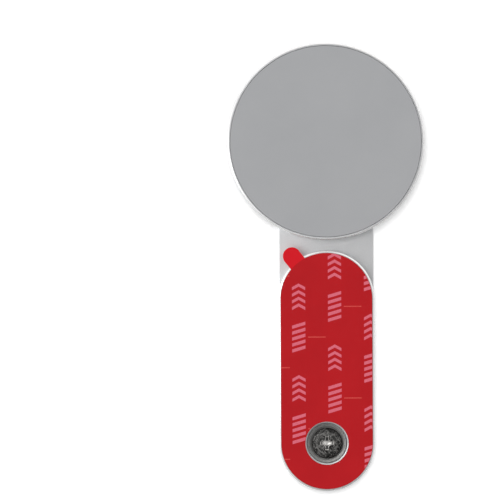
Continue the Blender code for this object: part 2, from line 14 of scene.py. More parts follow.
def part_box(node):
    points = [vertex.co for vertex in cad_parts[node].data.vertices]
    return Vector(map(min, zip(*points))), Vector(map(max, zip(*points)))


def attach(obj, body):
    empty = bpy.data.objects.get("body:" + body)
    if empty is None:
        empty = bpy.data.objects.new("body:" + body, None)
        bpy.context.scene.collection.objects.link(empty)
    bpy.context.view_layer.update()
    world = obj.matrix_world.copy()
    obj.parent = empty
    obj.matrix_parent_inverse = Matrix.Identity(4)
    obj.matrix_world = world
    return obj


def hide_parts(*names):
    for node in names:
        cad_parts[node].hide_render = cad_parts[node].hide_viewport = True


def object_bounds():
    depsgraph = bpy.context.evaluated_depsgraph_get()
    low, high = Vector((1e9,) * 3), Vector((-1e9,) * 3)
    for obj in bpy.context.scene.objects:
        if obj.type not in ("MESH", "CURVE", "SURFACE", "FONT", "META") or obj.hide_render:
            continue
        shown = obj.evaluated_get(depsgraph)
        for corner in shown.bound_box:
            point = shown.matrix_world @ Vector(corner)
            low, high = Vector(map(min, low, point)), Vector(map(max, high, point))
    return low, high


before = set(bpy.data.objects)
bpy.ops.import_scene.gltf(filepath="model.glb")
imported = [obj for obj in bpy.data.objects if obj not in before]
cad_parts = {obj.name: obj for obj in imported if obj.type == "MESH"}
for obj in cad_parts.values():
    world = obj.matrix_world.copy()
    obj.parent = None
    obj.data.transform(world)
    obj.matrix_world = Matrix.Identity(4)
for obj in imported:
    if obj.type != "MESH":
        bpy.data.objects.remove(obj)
cad_low, cad_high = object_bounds()


# Camera. It hangs straight above the table, nearly square to the holder and far enough away that its upright
# sides don't show. The round head's middle is the point that ties the picture to the model.
MM = 0.001
PICTURE_PIXELS = 500
PIXELS_PER_MM = 3.3933
HEAD_CENTRE_PIXEL = (325.7, 141.3)
CAMERA_ROLL = math.radians(-0.265)
CAMERA_DISTANCE = 2.0
SENSOR_WIDTH = 36.0

head_low, head_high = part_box("disc_housing")
head_centre = (head_low + head_high) / 2
pixel = MM / PIXELS_PER_MM
camera_data = bpy.data.cameras.new("camera")
camera_data.sensor_width = SENSOR_WIDTH
camera_data.lens = SENSOR_WIDTH * CAMERA_DISTANCE / (PICTURE_PIXELS * pixel)
camera = bpy.data.objects.new("camera", camera_data)
right_of_middle = HEAD_CENTRE_PIXEL[0] - PICTURE_PIXELS / 2
above_middle = PICTURE_PIXELS / 2 - HEAD_CENTRE_PIXEL[1]
from_middle = Vector((right_of_middle, above_middle, 0.0))
camera.location = head_centre - Matrix.Rotation(CAMERA_ROLL, 3, "Z") @ from_middle * pixel
camera.location.z = head_high.z + CAMERA_DISTANCE
camera.rotation_euler.z = CAMERA_ROLL
bpy.context.scene.collection.objects.link(camera)
bpy.context.scene.camera = camera
bpy.context.scene.view_settings.view_transform = "Standard"


# Studio. A pale sky all round gives the soft light, and a broad main light from the top left the short soft
# shadows. Polished surfaces see a sky that is brightest on that side, and dim where the camera hangs. They
# also see a narrower key light and a tall panel on the left, which the liner and its print don't mirror.
SKY_FILL = 0.66
MAIN_LIGHT_STRENGTH = 1.13
MAIN_LIGHT_WIDTH = math.radians(20)
KEY_LIGHT_STRENGTH = 0.05
KEY_LIGHT_WIDTH = math.radians(12)
TO_MAIN_LIGHT = Vector((-0.09, 0.18, 1.0))
TO_KEY_LIGHT = Vector((-0.13, 0.22, 1.0))
PANEL_POWER = 0.145
PANEL_WIDTH = 0.08
PANEL_LENGTH = 0.26
PANEL_PLACE = Vector((-0.12, 0.0, 0.10))
BRIGHT_SIDE = Vector((-0.35, 0.94, 0.0))
SKY_BRIGHT = 1.08
SKY_DIM = 0.45
BRIGHT_FROM = 0.3
DIM_FROM = -0.9
OVERHEAD_DIM = 0.26
OVERHEAD_EDGE = math.cos(math.radians(50))
OVERHEAD_CORE = math.cos(math.radians(8))
WHITE = (1.0, 1.0, 1.0, 1.0)


def put(tree, kind, inputs=None, **settings):
    """A new node with these settings. Its inputs are plain values or the outputs of other nodes."""
    node = tree.nodes.new(kind)
    for name, value in settings.items():
        setattr(node, name, value)
    for name, value in (inputs or {}).items():
        if isinstance(value, bpy.types.NodeSocket):
            tree.links.new(value, node.inputs[name])
        else:
            node.inputs[name].default_value = value
    return node


def calc(tree, operation, first, second=0.0):
    return put(tree, "ShaderNodeMath", {0: first, 1: second}, operation=operation).outputs[0]


def spread(tree, value, low, high, to_low=0.0, to_high=1.0, smooth="LINEAR"):
    """The value mapped from one range to another, and held at its ends."""
    ranges = {"Value": value, "From Min": low, "From Max": high, "To Min": to_low, "To Max": to_high}
    return put(tree, "ShaderNodeMapRange", ranges, interpolation_type=smooth).outputs["Result"]


def between(tree, share, first, second):
    return put(tree, "ShaderNodeMix", {"Factor": share, "A": first, "B": second}).outputs["Result"]


world = bpy.data.worlds.new("studio_sky")
world.use_nodes = True
world.cycles.sampling_method = "NONE"
bpy.context.scene.world = world
sky = world.node_tree
sky.nodes.clear()
rays = put(sky, "ShaderNodeLightPath").outputs
direction = put(sky, "ShaderNodeTexCoord").outputs["Generated"]
height = put(sky, "ShaderNodeSeparateXYZ", {0: direction}).outputs["Z"]
side = put(sky, "ShaderNodeVectorMath", {0: direction, 1: BRIGHT_SIDE}, operation="DOT_PRODUCT")
around = spread(sky, side.outputs["Value"], DIM_FROM, BRIGHT_FROM, SKY_DIM, SKY_BRIGHT)
overhead = spread(sky, height, OVERHEAD_EDGE, OVERHEAD_CORE, 1.0, OVERHEAD_DIM, "SMOOTHSTEP")
reflected = calc(sky, "MULTIPLY", around, overhead)
lit = between(sky, rays["Is Glossy Ray"], SKY_FILL, reflected)
plain = calc(sky, "MAXIMUM", rays["Is Camera Ray"], rays["Is Transmission Ray"])
background = {"Color": WHITE, "Strength": between(sky, plain, lit, 1.0)}
background = put(sky, "ShaderNodeBackground", background)
put(sky, "ShaderNodeOutputWorld", {"Surface": background.outputs[0]})


def lamp(name, kind, strength, towards):
    """A lamp that shines from the given direction."""
    data = bpy.data.lights.new(name, kind)
    data.energy = strength
    holder = bpy.data.objects.new(name, data)
    holder.rotation_euler = towards.to_track_quat("Z", "Y").to_euler()
    bpy.context.scene.collection.objects.link(holder)
    return holder


main_light = lamp("main_light", "SUN", MAIN_LIGHT_STRENGTH, TO_MAIN_LIGHT)
main_light.data.angle = MAIN_LIGHT_WIDTH
main_light.visible_glossy = False
key_light = lamp("key_light", "SUN", KEY_LIGHT_STRENGTH, TO_KEY_LIGHT)
key_light.data.angle = KEY_LIGHT_WIDTH
key_light.visible_diffuse = False
panel = lamp("side_panel", "AREA", PANEL_POWER, PANEL_PLACE)
panel.location = PANEL_PLACE
panel.data.shape = "RECTANGLE"
panel.data.size = PANEL_WIDTH
panel.data.size_y = PANEL_LENGTH
panel.visible_diffuse = False
panel.visible_camera = False
panel.light_linking.receiver_collection = bpy.data.collections.new("shaded_from_panel")


def shade_from_panel(piece):
    """Keeps the panel's reflection off a piece."""
    shaded = panel.light_linking.receiver_collection
    shaded.objects.link(piece)
    shaded.collection_objects[-1].light_linking.link_state = "EXCLUDE"


# Table. A plain matt white board under the arm, which keeps the holder's shadow. To the camera alone it is
# lifted a little, so that the shadow's faint outer part goes to white.
TABLE_SIZE = 4.0
TABLE_DROP = 0.02 * MM
TABLE_WHITE = (0.98, 0.98, 0.98, 1.0)
TABLE_LIFT = 0.17


def finish(name, **constants):
    """A material with one principled shader, whose constant sockets are set by name, and its node tree."""
    material = bpy.data.materials.new(name)
    material.use_nodes = True
    shader = material.node_tree.nodes["Principled BSDF"]
    for socket, value in constants.items():
        shader.inputs[socket.replace("_", " ")].default_value = value
    return material, material.node_tree, shader


table_white, tree, shader = finish(
    "table_white", Base_Color=TABLE_WHITE, Roughness=1.0, Specular_IOR_Level=0.0, Emission_Color=WHITE
)
seen = put(tree, "ShaderNodeLightPath").outputs["Is Camera Ray"]
tree.links.new(calc(tree, "MULTIPLY", seen, TABLE_LIFT), shader.inputs["Emission Strength"])
bm = bmesh.new()
bmesh.ops.create_grid(bm, x_segments=1, y_segments=1, size=TABLE_SIZE / 2)
table_mesh = bpy.data.meshes.new("table")
bm.to_mesh(table_mesh)
bm.free()
table_mesh.materials.append(table_white)
table = bpy.data.objects.new("table", table_mesh)
table.location.z = cad_low.z - TABLE_DROP
bpy.context.scene.collection.objects.link(table)


# Arm. A flat bar of aluminium with full-round ends, bead-blasted and anodised, its edges just broken. Its
# back has the hexagonal seat of the stud, and its hidden end the threads of the head's screws.
ALUMINIUM = (0.80, 0.805, 0.81)
ALUMINIUM_SHADE = (0.70, 0.705, 0.715)
CUT_ALUMINIUM = (0.93, 0.925, 0.915)
NOISE_SPAN = (0.3, 0.7)
BLAST_GRAIN = 0.14 * MM
BLAST_CLOUD = 9.0 * MM
BLAST_CLOUD_SHARE = 0.2
BLAST_CONTRAST = (0.35, 0.65)
BLAST_ROUGHNESS = (0.42, 0.54)
BLAST_DEPTH = 0.010 * MM
CUT_LINES = 0.05 * MM
CUT_WANDER = 0.8 * MM
CUT_HAZE = 2.5 * MM
CUT_LINE_TINT = 0.35
CUT_ROUGHNESS = (0.20, 0.30)
CUT_DEPTH = 0.0015 * MM
CUT_SLANT = (0.35, 0.97)
SHARP_FROM = math.radians(38)
ARM_CHAMFER = 0.16 * MM
EDGE_ROUND = 0.05 * MM
FLAT_HOLD = 1.5
LAND = 0.4 * MM
BAR_END_STEPS = 72
CIRCLE_STEPS = 96
STUD_SEAT_GAP = 0.15 * MM
STUD_SEAT_DEPTH = 1.05 * MM
STUD_AXLE_RADIUS = 3.0 * MM
SCREW_HOLE_RADIUS = 1.1 * MM
SCREW_HOLE_FLOOR = 0.5 * MM
SCREW_HOLE_STEPS = 32


def place(tree, centre=(0.0, 0.0, 0.0)):
    """The piece's own coordinates, in metres from the given point."""
    coordinates = put(tree, "ShaderNodeTexCoord").outputs["Object"]
    moved = {"Vector": coordinates, "Location": [-value for value in centre]}
    return put(tree, "ShaderNodeMapping", moved).outputs["Vector"]


def noise(tree, where, size, detail=2.0, roughness=0.5):
    """Soft noise from 0 to 1 whose blots are about this size, in metres."""
    settings = {"Vector": where, "Scale": 1 / size, "Detail": detail, "Roughness": roughness}
    return put(tree, "ShaderNodeTexNoise", settings).outputs[0]


def tint(tree, share, first, second):
    """A colour between two, by the share from 0 to 1. A colour is three numbers or an output."""
    pair = [value if isinstance(value, bpy.types.NodeSocket) else (*value, 1.0) for value in (first, second)]
    mixed = put(tree, "ShaderNodeMix", {0: share, 6: pair[0], 7: pair[1]}, data_type="RGBA")
    return mixed.outputs[2]


def uneven(tree, grain, low=0.0, high=1.0):
    """Noise, which seldom leaves the middle of its range, stretched to run from low to high."""
    return spread(tree, grain, *NOISE_SPAN, low, high)


def paint(tree, shader, share, first, second):
    tree.links.new(tint(tree, share, first, second), shader.inputs["Base Color"])


def roughen(tree, shader, grain, smoothest, roughest):
    tree.links.new(uneven(tree, grain, smoothest, roughest), shader.inputs["Roughness"])


def relief(tree, shader, surface, depth):
    """Raises the surface by its value, from 0 to 1, times the depth."""
    raised = put(tree, "ShaderNodeBump", {"Height": surface, "Distance": depth})
    tree.links.new(raised.outputs[0], shader.inputs["Normal"])


def blasted_aluminium():
    """Fine pits from the beads, and a barely seen cloud where the anodising took a little darker."""
    material, tree, shader = finish("blasted_aluminium", Metallic=1.0)
    where = place(tree)
    grain = noise(tree, where, BLAST_GRAIN, detail=3.0, roughness=0.65)
    cloud = noise(tree, where, BLAST_CLOUD)
    share = spread(tree, between(tree, BLAST_CLOUD_SHARE, grain, cloud), *BLAST_CONTRAST)
    paint(tree, shader, share, ALUMINIUM_SHADE, ALUMINIUM)
    roughen(tree, shader, grain, *BLAST_ROUGHNESS)
    relief(tree, shader, grain, BLAST_DEPTH)
    return material


def from_axis(tree, where):
    """How far a point lies from the upright axis."""
    flat = put(tree, "ShaderNodeVectorMath", {0: where, 1: (1.0, 1.0, 0.0)}, operation="MULTIPLY").outputs[0]
    return put(tree, "ShaderNodeVectorMath", {0: flat}, operation="LENGTH").outputs["Value"]


def bright_cut(name, axis):
    """Diamond-cut aluminium, with the tool's fine lines running round the given axis."""
    material, tree, shader = finish(name, Metallic=1.0)
    where = place(tree, axis)
    radius = from_axis(tree, where)
    wander = calc(tree, "MULTIPLY", noise(tree, where, CUT_WANDER), CUT_LINES)
    turns = calc(tree, "MULTIPLY", calc(tree, "ADD", radius, wander), 2 * math.pi / CUT_LINES)
    lines = spread(tree, calc(tree, "SINE", turns), -1.0, 1.0)
    paint(tree, shader, calc(tree, "MULTIPLY", lines, CUT_LINE_TINT), CUT_ALUMINIUM, ALUMINIUM)
    roughen(tree, shader, noise(tree, where, CUT_HAZE, detail=3.0), *CUT_ROUGHNESS)
    relief(tree, shader, lines, CUT_DEPTH)
    return material


def rounded(corners, radius, closed=False, steps=3):
    """A section's corners made round, with one more point beside each round that keeps the flats flat."""
    corners = [Vector(corner) for corner in corners]
    walk = [corners[-1], *corners, corners[0]] if closed else corners
    points = [] if closed else [corners[0]]
    for before, corner, after in zip(walk, walk[1:], walk[2:]):
        back = before - corner
        ahead = after - corner
        reach = min(radius, back.length / 4, ahead.length / 4)
        start = corner + back.normalized() * reach
        end = corner + ahead.normalized() * reach
        points.append(corner + back.normalized() * reach * FLAT_HOLD)
        for step in range(steps + 1):
            share = step / steps
            points.append(start * (1 - share) ** 2 + corner * 2 * share * (1 - share) + end * share**2)
        points.append(corner + ahead.normalized() * reach * FLAT_HOLD)
    return points if closed else [*points, corners[-1]]


def arc(centre, radius, first, last, steps):
    """Points along an arc between two angles in degrees, both ends included."""
    angles = [math.radians(first + (last - first) * step / steps) for step in range(steps + 1)]
    return [(centre[0] + radius * math.cos(a), centre[1] + radius * math.sin(a)) for a in angles]


def circle(centre, radius, steps=CIRCLE_STEPS):
    return arc(centre, radius, 0.0, 360.0, steps)[:-1]


def hexagon(centre, radius):
    return arc(centre, radius, 0.0, 300.0, 5)


def bar(low_y, high_y, radius):
    """The outline of a bar with full-round ends, whose centres lie on the Y axis."""
    lower = arc((0.0, low_y), radius, 180.0, 360.0, BAR_END_STEPS)
    return lower + arc((0.0, high_y), radius, 0.0, 180.0, BAR_END_STEPS)


def ring(bm, outline, z):
    return [bm.verts.new((x, y, z)) for x, y in outline]


def skin(bm, rings):
    """Walls between rings that have as many points each."""
    for lower, upper in zip(rings, rings[1:]):
        for index, corner in enumerate(lower):
            bm.faces.new((lower[index - 1], corner, upper[index], upper[index - 1]))


def lid(bm, *rings):
    """A flat face inside the first ring, open where the other rings are."""
    edges = []
    for loop in rings:
        for index, corner in enumerate(loop):
            pair = (loop[index - 1], corner)
            edges.append(bm.edges.get(pair) or bm.edges.new(pair))
    bmesh.ops.triangle_fill(bm, edges=edges, use_beauty=True)


def mark_cut_edges(bm):
    """Gives the slanted faces the second material. Shallow slants, such as the pocket's, keep the first."""
    for face in bm.faces:
        if CUT_SLANT[0] < abs(face.normal.z) < CUT_SLANT[1]:
            face.material_index = 1


def made(name, bm, *materials, cut_edges=False):
    """The finished piece, at the origin, with its faces outwards and its sharp edges sharp."""
    bmesh.ops.recalc_face_normals(bm, faces=bm.faces[:])
    if cut_edges:
        mark_cut_edges(bm)
    mesh = bpy.data.meshes.new(name)
    bm.to_mesh(mesh)
    bm.free()
    mesh.shade_smooth()
    mesh.set_sharp_from_angle(angle=SHARP_FROM)
    for material in materials:
        mesh.materials.append(material)
    piece = bpy.data.objects.new(name, mesh)
    bpy.context.scene.collection.objects.link(piece)
    return piece


arm_low, arm_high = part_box("arm_plate")
arm_radius = (arm_high.x - arm_low.x) / 2
pivot_y = arm_low.y + arm_radius
pivot_axis = (0.0, pivot_y, 0.0)
stud_low, stud_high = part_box("pivot_stud")
hexagon_radius = (stud_high.x - stud_low.x) / 2

blasted = blasted_aluminium()
arm_section = rounded(
    [
        (ARM_CHAMFER + LAND, arm_low.z),
        (ARM_CHAMFER, arm_low.z),
        (0.0, arm_low.z + ARM_CHAMFER),
        (0.0, arm_high.z - ARM_CHAMFER),
        (ARM_CHAMFER, arm_high.z),
        (ARM_CHAMFER + LAND, arm_high.z),
    ],
    EDGE_ROUND,
)
bm = bmesh.new()
walls = [ring(bm, bar(pivot_y, head_centre.y, arm_radius - inset), z) for inset, z in arm_section]
skin(bm, walls)
seat_outline = hexagon(pivot_axis, hexagon_radius + STUD_SEAT_GAP)
seat = [ring(bm, seat_outline, z) for z in (arm_low.z, arm_low.z + STUD_SEAT_DEPTH)]
bore_outline = circle(pivot_axis, STUD_AXLE_RADIUS + STUD_SEAT_GAP)
bore = [ring(bm, bore_outline, z) for z in (arm_low.z + STUD_SEAT_DEPTH, arm_high.z)]
threads = []
for number in (1, 2, 3):
    thread_low, thread_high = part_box(f"housing_screw_{number}")
    middle = (thread_low + thread_high) / 2
    outline = circle(middle, SCREW_HOLE_RADIUS, SCREW_HOLE_STEPS)
    threads.append([ring(bm, outline, z) for z in (SCREW_HOLE_FLOOR, arm_high.z)])
for hole in (seat, bore, *threads):
    skin(bm, hole)
lid(bm, walls[0], seat[0])
lid(bm, seat[1], bore[0])
lid(bm, walls[-1], bore[1], *[hole[1] for hole in threads])
for hole in threads:
    lid(bm, hole[0])
arm = made("arm_bar", bm, blasted)
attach(arm, "arm")
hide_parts("arm_plate")


# Head. A cup turned from aluminium bar, blasted and anodised like the arm, with its rim cut bright
# afterwards. Three screws through its floor hold it on the arm.
RIM_WIDTH = 0.72 * MM
RIM_CHAMFER = 0.30 * MM
RIM_CHAMFER_DEPTH = 0.26 * MM
CUP_FLOOR = 1.0 * MM
CUP_FOOT_CHAMFER = 0.3 * MM
TURNED_STEPS = 288
TURNING_PATH_RADIUS = 0.1
WELD = 0.001 * MM


def turning_tree():
    """Sweeps the group's outline, drawn as radius and height, round the Z axis."""
    tree = bpy.data.node_groups.new("turning", "GeometryNodeTree")
    sockets = {}
    for name, kind in (("Outline", "Geometry"), ("Steps", "Int"), ("Finish", "Material")):
        socket = tree.interface.new_socket(name, in_out="INPUT", socket_type=f"NodeSocket{kind}")
        sockets[name] = socket.identifier
    tree.interface.new_socket("Turned", in_out="OUTPUT", socket_type="NodeSocketGeometry")
    given = put(tree, "NodeGroupInput").outputs
    outline = put(tree, "GeometryNodeMeshToCurve", {"Mesh": given["Outline"]}).outputs[0]
    set_out = {"Translation": (-TURNING_PATH_RADIUS, 0.0, 0.0), "Scale": (1.0, -1.0, 1.0)}
    outline = put(tree, "GeometryNodeTransform", {"Geometry": outline, **set_out}).outputs[0]
    path = {"Resolution": given["Steps"], "Radius": TURNING_PATH_RADIUS}
    path = put(tree, "GeometryNodeCurvePrimitiveCircle", path).outputs["Curve"]
    swept = put(tree, "GeometryNodeCurveToMesh", {"Curve": path, "Profile Curve": outline}).outputs[0]
    closed = put(tree, "GeometryNodeMergeByDistance", {"Geometry": swept, "Distance": WELD}).outputs[0]
    whole = put(tree, "GeometryNodeRealizeInstances", {"Geometry": closed}).outputs[0]
    dressed = {"Geometry": whole, "Material": given["Finish"]}
    dressed = put(tree, "GeometryNodeSetMaterial", dressed).outputs[0]
    put(tree, "NodeGroupOutput", {"Turned": dressed})
    return tree, sockets


def grown(name, base, tree, values):
    """What the node tree makes of the base mesh, as the mesh's own faces."""
    maker = bpy.data.objects.new(name, base)
    bpy.context.scene.collection.objects.link(maker)
    modifier = maker.modifiers.new(tree.name, "NODES")
    modifier.node_group = tree
    for identifier, value in values.items():
        modifier[identifier] = value
    graph = bpy.context.evaluated_depsgraph_get()
    mesh = bpy.data.meshes.new_from_object(maker.evaluated_get(graph))
    maker.modifiers.clear()
    bpy.data.objects.remove(maker)
    bm = bmesh.new()
    bm.from_mesh(mesh)
    return bm


turning, turning_sockets = turning_tree()


def turned(name, section, centre, material, closed=False, steps=TURNED_STEPS):
    """A turned solid from its section's points of (radius, height), set on the centre."""
    count = len(section)
    edges = [(index, (index + 1) % count) for index in range(count if closed else count - 1)]
    outline = bpy.data.meshes.new(name)
    outline.from_pydata([(radius, height, 0.0) for radius, height in section], edges, [])
    sizes = {turning_sockets["Steps"]: steps, turning_sockets["Finish"]: material}
    bm = grown(name, outline, turning, sizes)
    bmesh.ops.translate(bm, verts=bm.verts[:], vec=(centre[0], centre[1], 0.0))
    return bm


head_radius = (head_high.x - head_low.x) / 2
head_axis = (0.0, head_centre.y, 0.0)
cup_radius = head_radius - RIM_WIDTH
cup_floor_top = head_low.z + CUP_FLOOR
rim_cut = bright_cut("cut_rim_of_head", head_axis)
cup_section = rounded(
    [
        (0.0, cup_floor_top),
        (cup_radius, cup_floor_top),
        (cup_radius, head_high.z),
        (head_radius - RIM_CHAMFER, head_high.z),
        (head_radius, head_high.z - RIM_CHAMFER_DEPTH),
        (head_radius, arm_high.z + CUP_FOOT_CHAMFER),
        (head_radius - CUP_FOOT_CHAMFER, arm_high.z),
        (0.0, arm_high.z),
    ],
    EDGE_ROUND,
)
bm = turned("head_cup", cup_section, head_centre, blasted)
cup = made("head_cup", bm, blasted, rim_cut, cut_edges=True)
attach(cup, "arm")
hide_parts("disc_housing")


# Pad. A disc of soft grey silicone rubber, moulded with a fine matt grain, let into the cup a hair proud of
# its rim. It is what the phone rests on.
PAD_GREY = (0.378, 0.382, 0.392)
PAD_GREY_WORN = (0.350, 0.355, 0.366)
PAD_GRAIN = 0.10 * MM
PAD_CLOUD = 14.0 * MM
PAD_CLOUD_SHARE = 0.6
PAD_ROUGHNESS = (0.58, 0.72)
PAD_GRAIN_DEPTH = 0.008 * MM
PAD_EDGE_ROUND = 0.14 * MM
PAD_EDGE_STEPS = 6
PAD_GAP = 0.10 * MM

material, tree, shader = finish("grey_silicone", IOR=1.41, Sheen_Weight=0.05)
where = place(tree, head_axis)
grain = noise(tree, where, PAD_GRAIN, roughness=0.6)
cloud = noise(tree, where, PAD_CLOUD, detail=3.0)
share = uneven(tree, between(tree, PAD_CLOUD_SHARE, grain, cloud))
paint(tree, shader, share, PAD_GREY_WORN, PAD_GREY)
roughen(tree, shader, grain, *PAD_ROUGHNESS)
relief(tree, shader, grain, PAD_GRAIN_DEPTH)

pad_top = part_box("face_pad")[1].z
pad_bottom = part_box("magnet_carrier")[1].z
pad_radius = cup_radius - PAD_GAP
pad_section = rounded(
    [(0.0, pad_top), (pad_radius, pad_top), (pad_radius, pad_bottom), (0.0, pad_bottom)],
    PAD_EDGE_ROUND,
    steps=PAD_EDGE_STEPS,
)
bm = turned("pad_disc", pad_section, head_centre, material)
pad = made("pad_disc", bm, material)
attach(pad, "arm")
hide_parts("face_pad")


# Base. The shorter bar that is stuck to a laptop's lid, blasted like the arm, with wide edges cut bright
# afterwards. At its lower end is a stepped bore: a pocket with a blasted chamfer for the screw and its
# washer, and a shallow recess below for the nylon one.
BASE_CHAMFER = 0.45 * MM
BASE_CHAMFER_DEPTH = 0.26 * MM
POCKET_WALL_GAP = 0.25 * MM
POCKET_CHAMFER = 0.32 * MM
POCKET_CHAMFER_DEPTH = 0.075 * MM
POCKET_FLOOR_DEPTH = 1.2 * MM
AXLE_CLEARANCE = 0.1 * MM
RECESS_GAP = 0.2 * MM
RECESS_CLEARANCE = 0.15 * MM
BORE_STEPS = 144

base_low, base_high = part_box("base_plate")
base_radius = (base_high.x - base_low.x) / 2
base_upper_y = base_high.y - base_radius
washer_low, washer_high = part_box("pivot_cup_washer")
washer_radius = (washer_high.x - washer_low.x) / 2
nylon_low, nylon_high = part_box("friction_washer")
pocket_radius = washer_radius + POCKET_WALL_GAP
pocket_mouth = pocket_radius + POCKET_CHAMFER
recess_radius = (nylon_high.x - nylon_low.x) / 2 + RECESS_CLEARANCE
base_section = rounded(
    [
        (BASE_CHAMFER + LAND / 2, base_low.z),
        (BASE_CHAMFER, base_low.z),
        (0.0, base_low.z + BASE_CHAMFER_DEPTH),
        (0.0, base_high.z - BASE_CHAMFER_DEPTH),
        (BASE_CHAMFER, base_high.z),
        (BASE_CHAMFER + LAND / 2, base_high.z),
    ],
    EDGE_ROUND,
)
bore_section = rounded(
    [
        (pocket_mouth + LAND / 2, base_high.z),
        (pocket_mouth, base_high.z),
        (pocket_radius, base_high.z - POCKET_CHAMFER_DEPTH),
        (pocket_radius, base_high.z - POCKET_FLOOR_DEPTH),
        (STUD_AXLE_RADIUS + AXLE_CLEARANCE, base_high.z - POCKET_FLOOR_DEPTH),
        (STUD_AXLE_RADIUS + AXLE_CLEARANCE, nylon_high.z + RECESS_GAP),
        (recess_radius, nylon_high.z + RECESS_GAP),
        (recess_radius, base_low.z),
        (recess_radius + LAND / 2, base_low.z),
    ],
    EDGE_ROUND,
)
bm = bmesh.new()
walls = [ring(bm, bar(pivot_y, base_upper_y, base_radius - inset), z) for inset, z in base_section]
bore = [ring(bm, circle(pivot_axis, radius, BORE_STEPS), z) for radius, z in bore_section]
skin(bm, walls)
skin(bm, bore)
lid(bm, walls[0], bore[-1])
lid(bm, walls[-1], bore[0])
edge_cut = bright_cut("cut_edge_of_base", pivot_axis)
base = made("base_bar", bm, blasted, edge_cut, cut_edges=True)
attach(base, "base")
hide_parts("base_plate")


# Foam. A strip of dark acrylic foam, die-cut to the base's outline a little inside its edge, with a hole
# over the screw. Its cut edge shows the closed cells.
FOAM = (0.055, 0.055, 0.058)
FOAM_CELL = (0.125, 0.125, 0.13)
FOAM_CELL_SIZE = 0.22 * MM
FOAM_CELL_WALLS = (0.1, 0.6)
FOAM_CELL_DEPTH = 0.05 * MM
FOAM_DUST = 1.2 * MM
FOAM_DUSTED = 0.5
FOAM_PINCH = 0.05 * MM
HOLE_MARGIN = 0.05 * MM
LINER_THICKNESS = 0.3 * MM


def pierced(section, outline, margin=0.0):
    """A flat piece with a hole at the pivot. Its section gives how far in each ring lies, and how high."""
    bm = bmesh.new()
    walls = [ring(bm, outline(margin + inset), z) for inset, z in section]
    hole = [
        ring(bm, circle(pivot_axis, tape_hole + margin + inset, BORE_STEPS), z) for inset, z in section
    ]
    skin(bm, walls)
    skin(bm, hole)
    lid(bm, walls[0], hole[0])
    lid(bm, walls[-1], hole[-1])
    return bm


def foam_outline(inset):
    return bar(pivot_y, base_upper_y, tape_radius - inset)


material, tree, shader = finish("acrylic_foam", Roughness=0.85)
where = place(tree)
cells = put(tree, "ShaderNodeTexVoronoi", {"Vector": where, "Scale": 1 / FOAM_CELL_SIZE})
cells = spread(tree, cells.outputs["Distance"], *FOAM_CELL_WALLS)
share = calc(tree, "MULTIPLY", cells, uneven(tree, noise(tree, where, FOAM_DUST), FOAM_DUSTED, 1.0))
paint(tree, shader, share, FOAM, FOAM_CELL)
relief(tree, shader, share, FOAM_CELL_DEPTH)

tape_low, tape_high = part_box("adhesive_tape")
liner_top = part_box("release_liner")[1].z
tape_radius = (tape_high.x - tape_low.x) / 2
tape_hole = pocket_mouth + HOLE_MARGIN
foam_top = liner_top - LINER_THICKNESS
foam_section = rounded(
    [
        (LAND, base_high.z),
        (0.0, base_high.z),
        (FOAM_PINCH, (base_high.z + foam_top) / 2),
        (0.0, foam_top),
        (LAND, foam_top),
    ],
    EDGE_ROUND,
)
foam = made("foam_strip", pierced(foam_section, foam_outline), material)
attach(foam, "base")
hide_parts("adhesive_tape")


# Liner. The red polyethylene film that protects the foam until it is stuck down, cut to the same outline,
# with a pull tab at the upper left. The dark foam shows through it a little, but not on the tab.
FILM_OVER_FOAM = (0.440, 0.0060, 0.0105)
FILM_OVER_FOAM_LIGHT = (0.475, 0.0070, 0.0115)
FILM_ON_TAB = (0.640, 0.0050, 0.0130)
FILM_RIPPLE = 9.0 * MM
FILM_RIPPLE_DEPTH = 0.03 * MM
FILM_SCUFF = 0.5 * MM
FILM_ROUGHNESS = (0.14, 0.20)
FILM_SPECULAR = 0.35
TAB_WIDTH = 5.3 * MM
TAB_LENGTH = 5.3 * MM
TAB_TILT = 38.9
TAB_STEPS = 36
TAB_FADE = 0.08 * MM

material, tree, shader = finish("red_film", IOR=1.5, Specular_IOR_Level=FILM_SPECULAR)
where = place(tree, (0.0, base_upper_y, 0.0))
parts = put(tree, "ShaderNodeSeparateXYZ", {0: where}).outputs
above = calc(tree, "MAXIMUM", parts["Y"], 0.0)
reach = put(tree, "ShaderNodeCombineXYZ", {"X": parts["X"], "Y": above}).outputs[0]
reach = put(tree, "ShaderNodeVectorMath", {0: reach}, operation="LENGTH").outputs["Value"]
on_tab = spread(tree, reach, tape_radius - TAB_FADE, tape_radius + TAB_FADE)
ripple = noise(tree, where, FILM_RIPPLE, detail=3.0, roughness=0.55)
film = tint(tree, uneven(tree, ripple), FILM_OVER_FOAM, FILM_OVER_FOAM_LIGHT)
paint(tree, shader, on_tab, film, FILM_ON_TAB)
scuff = noise(tree, where, FILM_SCUFF, detail=4.0, roughness=0.7)
roughen(tree, shader, scuff, *FILM_ROUGHNESS)
relief(tree, shader, ripple, FILM_RIPPLE_DEPTH)


def liner_outline(inset):
    """The foam's outline with the tab, a tongue that runs out of its upper round end."""
    radius = tape_radius - inset
    half_width = TAB_WIDTH / 2 - inset
    tab_angle = 90.0 + TAB_TILT
    root = math.degrees(math.asin(half_width / radius))
    upper = (0.0, base_upper_y)
    tip = arc(upper, tape_radius + TAB_LENGTH - TAB_WIDTH / 2, tab_angle, tab_angle, 1)[0]
    points = arc(pivot_axis, radius, 180.0, 360.0, BAR_END_STEPS)
    points += arc(upper, radius, 0.0, tab_angle - root, BAR_END_STEPS * 2 // 3)
    points += arc(tip, half_width, TAB_TILT, TAB_TILT + 180.0, TAB_STEPS)
    return points + arc(upper, radius, tab_angle + root, 180.0, BAR_END_STEPS // 3)


